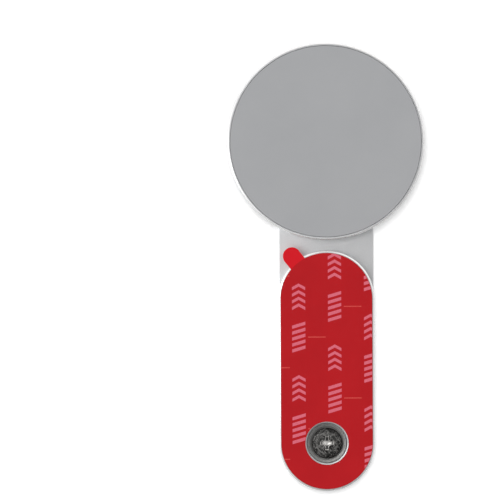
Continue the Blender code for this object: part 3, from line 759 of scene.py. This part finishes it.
film_corners = [(LAND / 2, foam_top), (0.0, foam_top), (0.0, liner_top), (LAND / 2, liner_top)]
film_section = rounded(film_corners, EDGE_ROUND)
liner = made("liner_film", pierced(film_section, liner_outline), material)
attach(liner, "base")
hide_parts("release_liner")
shade_from_panel(liner)


# Print on the liner. Pink ink in a plain repeat of slanted bars and chevrons, in columns that step a third
# of a repeat, with thin rules in a redder ink beside them. The strip is cut from a printed sheet without
# regard to the print.
INK = (0.74, 0.160, 0.215)
INK_FADED = (0.64, 0.115, 0.165)
RULE_INK = (0.70, 0.085, 0.075)
RULE_INK_FADED = (0.60, 0.050, 0.045)
INK_TOP = 0.015 * MM
INK_DEPTH = 0.030 * MM
PRINT_MARGIN = 0.08 * MM
INK_BLOTS = 0.35 * MM
INK_CONTRAST = (0.35, 0.65)
INK_ROUGHNESS = (0.16, 0.24)
INK_UNEVENNESS = 0.004 * MM
STEPS_IN_REPEAT = 3.0
PRINT_SIZES = {
    "Column Pitch": 10.6 * MM,
    "Column Start": 2.4 * MM,
    "Row Pitch": 27.0 * MM,
    "Columns": 5,
    "Rows": 6,
    "Row Start": 7.4 * MM,
    "Ink Depth": INK_DEPTH,
    "Bar Width": 3.9 * MM,
    "Bar Height": 0.95 * MM,
    "Bar Pitch": 1.75 * MM,
    "Bars": 5,
    "Bar Slant": 0.30,
    "Rule Width": 5.2 * MM,
    "Rule Height": 0.28 * MM,
    "Rule Side": 5.3 * MM,
    "Rule Place": 3.5 * MM,
    "Rules": 1,
    "Chevron Width": 3.9 * MM,
    "Chevron Height": 0.90 * MM,
    "Chevron Fall": 0.55,
    "Chevron Place": 13.0 * MM,
    "Chevron Pitch": 1.95 * MM,
    "Chevrons": 4,
}


def printing_ink(name, full, faded):
    """Thin glossy ink that lies a little uneven."""
    material, tree, shader = finish(name, IOR=1.5, Specular_IOR_Level=FILM_SPECULAR)
    blots = noise(tree, place(tree), INK_BLOTS, detail=3.0, roughness=0.6)
    paint(tree, shader, spread(tree, blots, *INK_CONTRAST), faded, full)
    roughen(tree, shader, blots, *INK_ROUGHNESS)
    relief(tree, shader, blots, INK_UNEVENNESS)
    return material


def print_tree():
    """Repeats one motif over a grid and keeps what lies inside the film's outline."""
    tree = bpy.data.node_groups.new("liner_print", "GeometryNodeTree")
    sockets = {}
    kinds = {"Film": "Geometry", "Ink": "Material"}
    kinds.update({name: "Int" if isinstance(size, int) else "Float" for name, size in PRINT_SIZES.items()})
    for name, kind in kinds.items():
        socket = tree.interface.new_socket(name, in_out="INPUT", socket_type=f"NodeSocket{kind}")
        sockets[name] = socket.identifier
    tree.interface.new_socket("Print", in_out="OUTPUT", socket_type="NodeSocketGeometry")
    given = put(tree, "NodeGroupInput").outputs

    def vector(x=0.0, y=0.0, z=0.0):
        return put(tree, "ShaderNodeCombineXYZ", {"X": x, "Y": y, "Z": z}).outputs[0]

    def block(width, length, corners=2):
        size = vector(width, length, given["Ink Depth"])
        return put(tree, "GeometryNodeMeshCube", {"Size": size, "Vertices X": corners}).outputs["Mesh"]

    def row(shape, count, pitch, start, side=0.0):
        line = {"Count": count, "Start Location": vector(side, start), "Offset": vector(y=pitch)}
        points = put(tree, "GeometryNodeMeshLine", line).outputs["Mesh"]
        return put(tree, "GeometryNodeInstanceOnPoints", {"Points": points, "Instance": shape}).outputs[0]

    position = put(tree, "GeometryNodeInputPosition").outputs[0]
    across = put(tree, "ShaderNodeSeparateXYZ", {0: position}).outputs["X"]
    slant = vector(y=calc(tree, "MULTIPLY", across, given["Bar Slant"]))
    straight = block(given["Bar Width"], given["Bar Height"])
    slanted = put(tree, "GeometryNodeSetPosition", {"Geometry": straight, "Offset": slant}).outputs[0]
    bars = row(slanted, given["Bars"], given["Bar Pitch"], 0.0)
    rule = block(given["Rule Width"], given["Rule Height"])
    rules = row(rule, given["Rules"], 0.0, given["Rule Place"], given["Rule Side"])
    fall = calc(tree, "MULTIPLY", calc(tree, "ABSOLUTE", across), given["Chevron Fall"])
    fall = vector(y=calc(tree, "MULTIPLY", fall, -1.0))
    strip = block(given["Chevron Width"], given["Chevron Height"], 3)
    folded = put(tree, "GeometryNodeSetPosition", {"Geometry": strip, "Offset": fall}).outputs[0]
    chevrons = row(folded, given["Chevrons"], given["Chevron Pitch"], given["Chevron Place"])
    motif = put(tree, "GeometryNodeJoinGeometry")
    for shape in (chevrons, rules, bars):
        tree.links.new(shape, motif.inputs[0])

    width = calc(tree, "MULTIPLY", given["Column Pitch"], calc(tree, "SUBTRACT", given["Columns"], 1.0))
    length = calc(tree, "MULTIPLY", given["Row Pitch"], calc(tree, "SUBTRACT", given["Rows"], 1.0))
    grid = {"Size X": width, "Size Y": length, "Vertices X": given["Columns"], "Vertices Y": given["Rows"]}
    grid = put(tree, "GeometryNodeMeshGrid", grid).outputs["Mesh"]
    index = put(tree, "GeometryNodeInputIndex").outputs[0]
    column = calc(tree, "FLOOR", calc(tree, "DIVIDE", index, given["Rows"]))
    step = calc(tree, "MODULO", column, STEPS_IN_REPEAT)
    drop = calc(tree, "MULTIPLY", calc(tree, "DIVIDE", step, STEPS_IN_REPEAT), given["Row Pitch"])
    drop = vector(given["Column Start"], calc(tree, "ADD", drop, given["Row Start"]))
    grid = put(tree, "GeometryNodeSetPosition", {"Geometry": grid, "Offset": drop}).outputs[0]
    repeated = {"Points": grid, "Instance": motif.outputs[0]}
    repeated = put(tree, "GeometryNodeInstanceOnPoints", repeated).outputs[0]
    repeated = put(tree, "GeometryNodeRealizeInstances", {"Geometry": repeated}).outputs[0]
    kept = put(tree, "GeometryNodeMeshBoolean", operation="INTERSECT", solver="EXACT")
    tree.links.new(repeated, kept.inputs["Mesh 2"])
    tree.links.new(given["Film"], kept.inputs["Mesh 2"])
    inked = {"Geometry": kept.outputs["Mesh"], "Material": given["Ink"]}
    inked = put(tree, "GeometryNodeSetMaterial", inked).outputs[0]
    put(tree, "NodeGroupOutput", {"Print": inked})
    return tree, sockets


printing, print_sockets = print_tree()
printed_lines = {
    "liner_print": (printing_ink("pink_ink", INK, INK_FADED), {"Rules": 0}),
    "liner_rules": (printing_ink("red_ink", RULE_INK, RULE_INK_FADED), {"Bars": 0, "Chevrons": 0}),
}
for name, (ink, left_out) in printed_lines.items():
    bm = pierced([(0.0, -INK_DEPTH), (0.0, INK_DEPTH)], foam_outline, PRINT_MARGIN)
    bmesh.ops.recalc_face_normals(bm, faces=bm.faces[:])
    film_limits = bpy.data.meshes.new("film_limits")
    bm.to_mesh(film_limits)
    bm.free()
    values = {print_sockets[size]: value for size, value in {**PRINT_SIZES, **left_out}.items()}
    values[print_sockets["Ink"]] = ink
    bm = grown(name, film_limits, printing, values)
    bmesh.ops.translate(bm, verts=bm.verts[:], vec=(0.0, 0.0, liner_top + INK_TOP - INK_DEPTH / 2))
    print_piece = made(name, bm, ink)
    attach(print_piece, "base")
    shade_from_panel(print_piece)


# Stud. Plated steel, pressed into the arm's back, where its hexagonal head stays flush. Its axle is what the
# base turns on, and the screw goes into its blind thread.
STEEL = (0.56, 0.57, 0.59)
STEEL_SHADE = (0.40, 0.405, 0.42)
STUD_HEAD_HEIGHT = 0.9 * MM
STUD_HEAD_CHAMFER = 0.12 * MM
STUD_THREAD_RADIUS = 1.6 * MM
STUD_THREAD_FLOOR = 1.3 * MM
PLATING_LINES = 0.18 * MM
PLATING_ROUGHNESS = 0.28
STEEL_WANDER = 1.5 * MM
STEEL_HAZE = 0.6 * MM
STEEL_HAZE_ROUGHNESS = 0.16
STEEL_LINE_FAINTEST = 0.3
STEEL_LINE_DEPTH = 1 / 40


def turned_steel(name, light, dark, axis, roughness, line):
    """Bare or plated steel with the faint rings that turning or pressing leaves round its axis."""
    material, tree, shader = finish(name, Metallic=1.0)
    where = place(tree, axis)
    radius = from_axis(tree, where)
    wander = calc(tree, "MULTIPLY", noise(tree, where, STEEL_WANDER), line)
    turns = calc(tree, "MULTIPLY", calc(tree, "ADD", radius, wander), 2 * math.pi / line)
    rings = spread(tree, calc(tree, "SINE", turns), -1.0, 1.0)
    haze = noise(tree, where, STEEL_HAZE, detail=4.0, roughness=0.65)
    share = calc(tree, "MULTIPLY", rings, uneven(tree, haze, STEEL_LINE_FAINTEST, 1.0))
    paint(tree, shader, share, light, dark)
    roughen(tree, shader, haze, roughness, roughness + STEEL_HAZE_ROUGHNESS)
    relief(tree, shader, share, line * STEEL_LINE_DEPTH)
    return material


plated = turned_steel("plated_steel", STEEL, STEEL_SHADE, pivot_axis, PLATING_ROUGHNESS, PLATING_LINES)
bm = bmesh.new()
head_steps = [
    (hexagon_radius - STUD_HEAD_CHAMFER, stud_low.z),
    (hexagon_radius, stud_low.z + STUD_HEAD_CHAMFER),
    (hexagon_radius, stud_low.z + STUD_HEAD_HEIGHT),
]
flats = [ring(bm, hexagon(pivot_axis, radius), z) for radius, z in head_steps]
axle_section = [
    (STUD_AXLE_RADIUS, stud_low.z + STUD_HEAD_HEIGHT),
    (STUD_AXLE_RADIUS, stud_high.z),
    (STUD_THREAD_RADIUS, stud_high.z),
    (STUD_THREAD_RADIUS, STUD_THREAD_FLOOR),
]
axle = [ring(bm, circle(pivot_axis, radius), z) for radius, z in axle_section]
skin(bm, flats)
skin(bm, axle)
lid(bm, flats[0])
lid(bm, flats[-1], axle[0])
lid(bm, axle[-1])
stud = made("clinch_stud", bm, plated)
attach(stud, "arm")
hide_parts("pivot_stud")


# Washers. A pressed steel cup washer spreads the screw's load: a flat land under its head, and a shallow dish
# round that. The white nylon one between the two bars, which gives the pivot its drag, stays as packed.
WASHER_STEEL = (0.46, 0.457, 0.445)
WASHER_SHADE = (0.16, 0.158, 0.154)
WASHER_THICKNESS = 0.5 * MM
WASHER_RISE = 0.3 * MM
WASHER_LAND_RADIUS = 4.45 * MM
WASHER_CREST_RADIUS = 5.6 * MM
WASHER_RIM_FALL = 0.02 * MM
WASHER_LINES = 0.42 * MM
WASHER_ROUGHNESS = 0.44
WASHER_EDGE_ROUND = 0.08 * MM
SCREW_SHANK_RADIUS = 1.5 * MM
SHANK_CLEARANCE = 0.15 * MM
NYLON = (0.78, 0.78, 0.75)
NYLON_SHADE = (0.70, 0.69, 0.65)
NYLON_CLOUD = 2.0 * MM
NYLON_GRAIN = 0.2 * MM
NYLON_GRAIN_DEPTH = 0.01 * MM

washer_finish = (WASHER_STEEL, WASHER_SHADE, pivot_axis, WASHER_ROUGHNESS, WASHER_LINES)
washer_steel = turned_steel("washer_steel", *washer_finish)
washer_bottom = stud_high.z
land_top = washer_high.z - WASHER_RISE
washer_section = rounded(
    [
        (SCREW_SHANK_RADIUS + SHANK_CLEARANCE, land_top),
        (WASHER_LAND_RADIUS, land_top),
        (WASHER_CREST_RADIUS, washer_high.z),
        (washer_radius, washer_high.z - WASHER_RIM_FALL),
        (washer_radius, washer_high.z - WASHER_THICKNESS),
        (WASHER_LAND_RADIUS, washer_bottom),
        (SCREW_SHANK_RADIUS + SHANK_CLEARANCE, washer_bottom),
    ],
    WASHER_EDGE_ROUND,
    closed=True,
)
bm = turned("flared_washer", washer_section, pivot_axis, washer_steel, closed=True, steps=BORE_STEPS)
washer = made("flared_washer", bm, washer_steel)
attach(washer, "arm")
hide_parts("pivot_cup_washer")


def dress(node_names, material):
    """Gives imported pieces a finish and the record's slot for it."""
    for name in node_names:
        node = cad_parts[name]
        if not node.material_slots:
            node.data.materials.append(material)
        for material_slot in node.material_slots:
            material_slot.material = material


material, tree, shader = finish("white_nylon", Roughness=0.5, IOR=1.53)
where = place(tree)
paint(tree, shader, noise(tree, where, NYLON_CLOUD, detail=4.0), NYLON_SHADE, NYLON)
relief(tree, shader, noise(tree, where, NYLON_GRAIN), NYLON_GRAIN_DEPTH)
dress(["friction_washer"], material)


# Screw. A pan-head machine screw in black nickel over a rough head, worn through in fine spots. The paler
# ring at the crown's edge is partly wear and partly a painted highlight. The driver has rubbed the plating
# off the cross recess, which is bare and bright at its mouth and at its point; that brightness, stretched
# sideways at the point, is partly wear and partly a painted highlight.
BLACK_NICKEL = (0.026, 0.026, 0.025)
BLACK_NICKEL_WORN_AND_HIGHLIGHT = (0.54, 0.53, 0.51)
BARE_STEEL_AND_HIGHLIGHT = (0.90, 0.88, 0.85)
RECESS_DARK = (0.06, 0.059, 0.057)
SPECKLE = 0.30 * MM
SPECKLE_DRIFT = 0.9 * MM
SPECKLE_CONTRAST = (0.40, 0.85)
SPECKLE_WEAR = (0.55, 0.35)
SPECKLE_ROUGHNESS = (0.34, 0.55)
SPECKLE_DEPTH = 0.04 * MM
SCRATCHES = 0.35 * MM
SCRATCH_CONTRAST = (0.37, 0.50)
SCRATCH_DARK = 0.2
SCRATCH_ROUGHNESS = (0.22, 0.40)
SCRATCH_DEPTH = 0.012 * MM
HEAD_RADIUS = 4.50 * MM
HEAD_HEIGHT = 1.3 * MM
HEAD_EDGE_HEIGHT = 0.45 * MM
CROWN_RADIUS = 3.1 * MM
CROWN_RISE = 0.12 * MM
CROWN_MIDDLE = (0.5, 0.25)
CROWN_EDGE_WIDTH = 0.30 * MM
CROWN_EDGE_WEAR_AND_HIGHLIGHT = 0.5
CROWN_PATCHES = (0.42, 0.60)
DOME_STEPS = 12
CROSS_TOP = (4.3 * MM, 1.20 * MM, 0.42 * MM)
CROSS_FLOOR = (2.9 * MM, 0.70 * MM, 0.25 * MM)
CROSS_LIP = 0.18 * MM
CROSS_LIP_DEGREES = (0, 25, 50, 70)
CROSS_TIP_DEPTH = 0.75 * MM
CROSS_DEPTH = 1.15 * MM
CROSS_POINT = 0.25 * MM
CROSS_OVERRUN = 0.4 * MM
RUBBED_AND_HIGHLIT_POINT = 1.8 * MM
RUBBED_AND_HIGHLIT_SHAPE = (1.0, 2.3, 1.0)
RUBBED_AND_HIGHLIT_DEPTH = 0.45 * MM
SCREW_SHARP_FROM = math.radians(25)

screw_low, screw_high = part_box("pivot_screw")
black_nickel, tree, shader = finish("black_nickel", Metallic=1.0)
where = place(tree, pivot_axis)
radius = from_axis(tree, where)
drift = {"Vector": where, "Scale": 1 / SPECKLE, "Detail": 4.0, "Roughness": 0.7}
drift = put(tree, "ShaderNodeTexNoise", drift).outputs["Color"]
drifted = {0: drift, 1: [SPECKLE_DRIFT] * 3, 2: where}
drifted = put(tree, "ShaderNodeVectorMath", drifted, operation="MULTIPLY_ADD").outputs[0]
grains = put(tree, "ShaderNodeTexVoronoi", {"Vector": drifted, "Scale": 1 / SPECKLE}).outputs["Color"]
speckle = put(tree, "ShaderNodeSeparateXYZ", {0: grains}).outputs["X"]
spots = spread(tree, speckle, *SPECKLE_CONTRAST)
outwards = spread(tree, radius, CROWN_RADIUS / 3, HEAD_RADIUS, *SPECKLE_WEAR)
spots = calc(tree, "MULTIPLY", spots, outwards)
# The paler ring at the crown's edge: partly wear, partly a painted highlight where the dome begins.
off_crown = calc(tree, "ABSOLUTE", calc(tree, "SUBTRACT", radius, CROWN_RADIUS))
crown_wear_and_highlight = spread(tree, off_crown, 0.0, CROWN_EDGE_WIDTH, CROWN_EDGE_WEAR_AND_HIGHLIGHT, 0.0)
patches = spread(tree, noise(tree, where, CROWN_RADIUS), *CROWN_PATCHES)
wear_and_highlight = calc(tree, "MAXIMUM", spots, calc(tree, "MULTIPLY", crown_wear_and_highlight, patches))
paint(tree, shader, wear_and_highlight, BLACK_NICKEL, BLACK_NICKEL_WORN_AND_HIGHLIGHT)
roughen(tree, shader, speckle, *SPECKLE_ROUGHNESS)
relief(tree, shader, speckle, SPECKLE_DEPTH)

rubbed_and_highlit_recess, tree, shader = finish("rubbed_and_highlit_recess", Metallic=0.45)
where = place(tree, (0.0, pivot_y, screw_high.z))
depth = put(tree, "ShaderNodeSeparateXYZ", {0: where}).outputs["Z"]
# Bare bright steel at the recess's mouth and, stretched sideways, at its point: partly rubbed wear, partly a
# painted highlight.
mouth_wear_and_highlight = spread(tree, depth, -RUBBED_AND_HIGHLIT_DEPTH, -RUBBED_AND_HIGHLIT_DEPTH / 2)
along_arms = put(tree, "ShaderNodeVectorMath", {0: where, 1: RUBBED_AND_HIGHLIT_SHAPE}, operation="MULTIPLY")
along_arms = along_arms.outputs[0]
point_wear_and_highlight = spread(tree, from_axis(tree, along_arms), RUBBED_AND_HIGHLIT_POINT / 2, RUBBED_AND_HIGHLIT_POINT, 1.0, 0.0)
scratches = noise(tree, where, SCRATCHES, detail=3.0, roughness=0.7)
patches = spread(tree, scratches, *SCRATCH_CONTRAST, SCRATCH_DARK, 1.0)
wear_and_highlight = calc(tree, "MULTIPLY", calc(tree, "MAXIMUM", mouth_wear_and_highlight, point_wear_and_highlight), patches)
paint(tree, shader, wear_and_highlight, RECESS_DARK, BARE_STEEL_AND_HIGHLIGHT)
roughen(tree, shader, scratches, *SCRATCH_ROUGHNESS)
relief(tree, shader, scratches, SCRATCH_DEPTH)


def cross_outline(centre, span, arm, corner, growth):
    """A cross recess: four arms of one width, with the corners between them cut off, all grown outwards."""
    tip = span / 2 + growth
    flank = arm / 2 + growth
    corner -= growth * (2 - math.sqrt(2))
    quarter = [(tip, -flank), (tip, flank), (flank + corner, flank), (flank, flank + corner)]
    points = []
    for quarter_turns in range(4):
        cosine = round(math.cos(quarter_turns * math.pi / 2))
        sine = round(math.sin(quarter_turns * math.pi / 2))
        points += [(centre[0] + x * cosine - y * sine, centre[1] + x * sine + y * cosine) for x, y in quarter]
    return points


crown_edge_z = screw_high.z - CROWN_RISE
edge_z = screw_high.z - HEAD_HEIGHT + HEAD_EDGE_HEIGHT
dome = []
for step in range(DOME_STEPS + 1):
    angle = math.pi / 2 * step / DOME_STEPS
    radius = CROWN_RADIUS + (HEAD_RADIUS - CROWN_RADIUS) * math.sin(angle)
    dome.append((radius, edge_z + (crown_edge_z - edge_z) * math.cos(angle)))
screw_section = [
    (0.0, screw_high.z),
    (CROWN_RADIUS * CROWN_MIDDLE[0], screw_high.z - CROWN_RISE * CROWN_MIDDLE[1]),
    *dome,
    (HEAD_RADIUS, land_top),
    (SCREW_SHANK_RADIUS, land_top),
    (SCREW_SHANK_RADIUS, screw_low.z),
    (0.0, screw_low.z),
]
bm = turned("clamp_screw", screw_section, pivot_axis, black_nickel, steps=BORE_STEPS)
screw = made("clamp_screw", bm, black_nickel, rubbed_and_highlit_recess)
bm = bmesh.new()
sides = [ring(bm, cross_outline(pivot_axis, *CROSS_FLOOR, 0.0), screw_high.z - CROSS_DEPTH)]
for degrees in CROSS_LIP_DEGREES:
    angle = math.radians(degrees)
    outline = cross_outline(pivot_axis, *CROSS_TOP, -CROSS_LIP * math.cos(angle))
    sides.append(ring(bm, outline, screw_high.z - CROSS_LIP * (1 - math.sin(angle))))
outline = cross_outline(pivot_axis, *CROSS_TOP, CROSS_OVERRUN * 2)
sides.append(ring(bm, outline, screw_high.z + CROSS_OVERRUN))
skin(bm, sides)
lid(bm, sides[-1])
floor = sides[0]
point = bm.verts.new((0.0, pivot_y, screw_high.z - CROSS_DEPTH - CROSS_POINT))
for first in range(0, len(floor), 4):
    before, tip, other_tip, after, next_arm = (floor[first + step] for step in (-1, 0, 1, 2, 3))
    tip.co.z = other_tip.co.z = screw_high.z - CROSS_TIP_DEPTH
    bm.faces.new((before, tip, other_tip, after))
    bm.faces.new((before, after, point))
    bm.faces.new((after, next_arm, point))
punch = made("cross_punch", bm, rubbed_and_highlit_recess)
modifier = screw.modifiers.new("cross", "BOOLEAN")
modifier.operation = "DIFFERENCE"
modifier.solver = "EXACT"
modifier.material_mode = "TRANSFER"
modifier.object = punch
punched = bpy.data.meshes.new_from_object(screw.evaluated_get(bpy.context.evaluated_depsgraph_get()))
screw.modifiers.clear()
screw.data = punched
screw.data.set_sharp_from_angle(angle=SCREW_SHARP_FROM)
bpy.data.objects.remove(punch)
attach(screw, "arm")
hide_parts("pivot_screw")


# Inside the head, closed off by the pad: the black moulding with its ring of nickel-plated magnets, the steel
# ring behind them, and the three screws that hold the cup. They stay as packed.
BLACK = (0.028, 0.028, 0.030)
BLACK_LIGHT = (0.050, 0.050, 0.052)
NICKEL = (0.68, 0.66, 0.61)
NICKEL_SHADE = (0.52, 0.50, 0.46)
SPARK_GRAIN = 0.25 * MM
SPARK_ROUGHNESS = (0.42, 0.58)
SPARK_DEPTH = 0.01 * MM
NICKEL_BLOOM = 1.8 * MM
NICKEL_ROUGHNESS = (0.14, 0.24)
NICKEL_GRAIN = 0.3 * MM
NICKEL_GRAIN_DEPTH = 0.004 * MM
ZINC_LINES = 0.3 * MM
ZINC_ROUGHNESS = 0.30

material, tree, shader = finish("black_moulding", IOR=1.5)
where = place(tree, head_axis)
spark = noise(tree, where, SPARK_GRAIN)
paint(tree, shader, spark, BLACK, BLACK_LIGHT)
roughen(tree, shader, spark, *SPARK_ROUGHNESS)
relief(tree, shader, spark, SPARK_DEPTH)
dress(["magnet_carrier"], material)

material, tree, shader = finish("nickel_plating", Metallic=1.0)
where = place(tree, head_axis)
bloom = noise(tree, where, NICKEL_BLOOM, detail=3.0)
paint(tree, shader, bloom, NICKEL_SHADE, NICKEL)
roughen(tree, shader, bloom, *NICKEL_ROUGHNESS)
relief(tree, shader, noise(tree, where, NICKEL_GRAIN), NICKEL_GRAIN_DEPTH)
magnets = [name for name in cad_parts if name.startswith("magnet_") and name != "magnet_carrier"]
dress(magnets, material)

zinc_steel = turned_steel("zinc_steel", STEEL, STEEL_SHADE, head_axis, ZINC_ROUGHNESS, ZINC_LINES)
dress(["yoke_ring", "housing_screw_1", "housing_screw_2", "housing_screw_3"], zinc_steel)
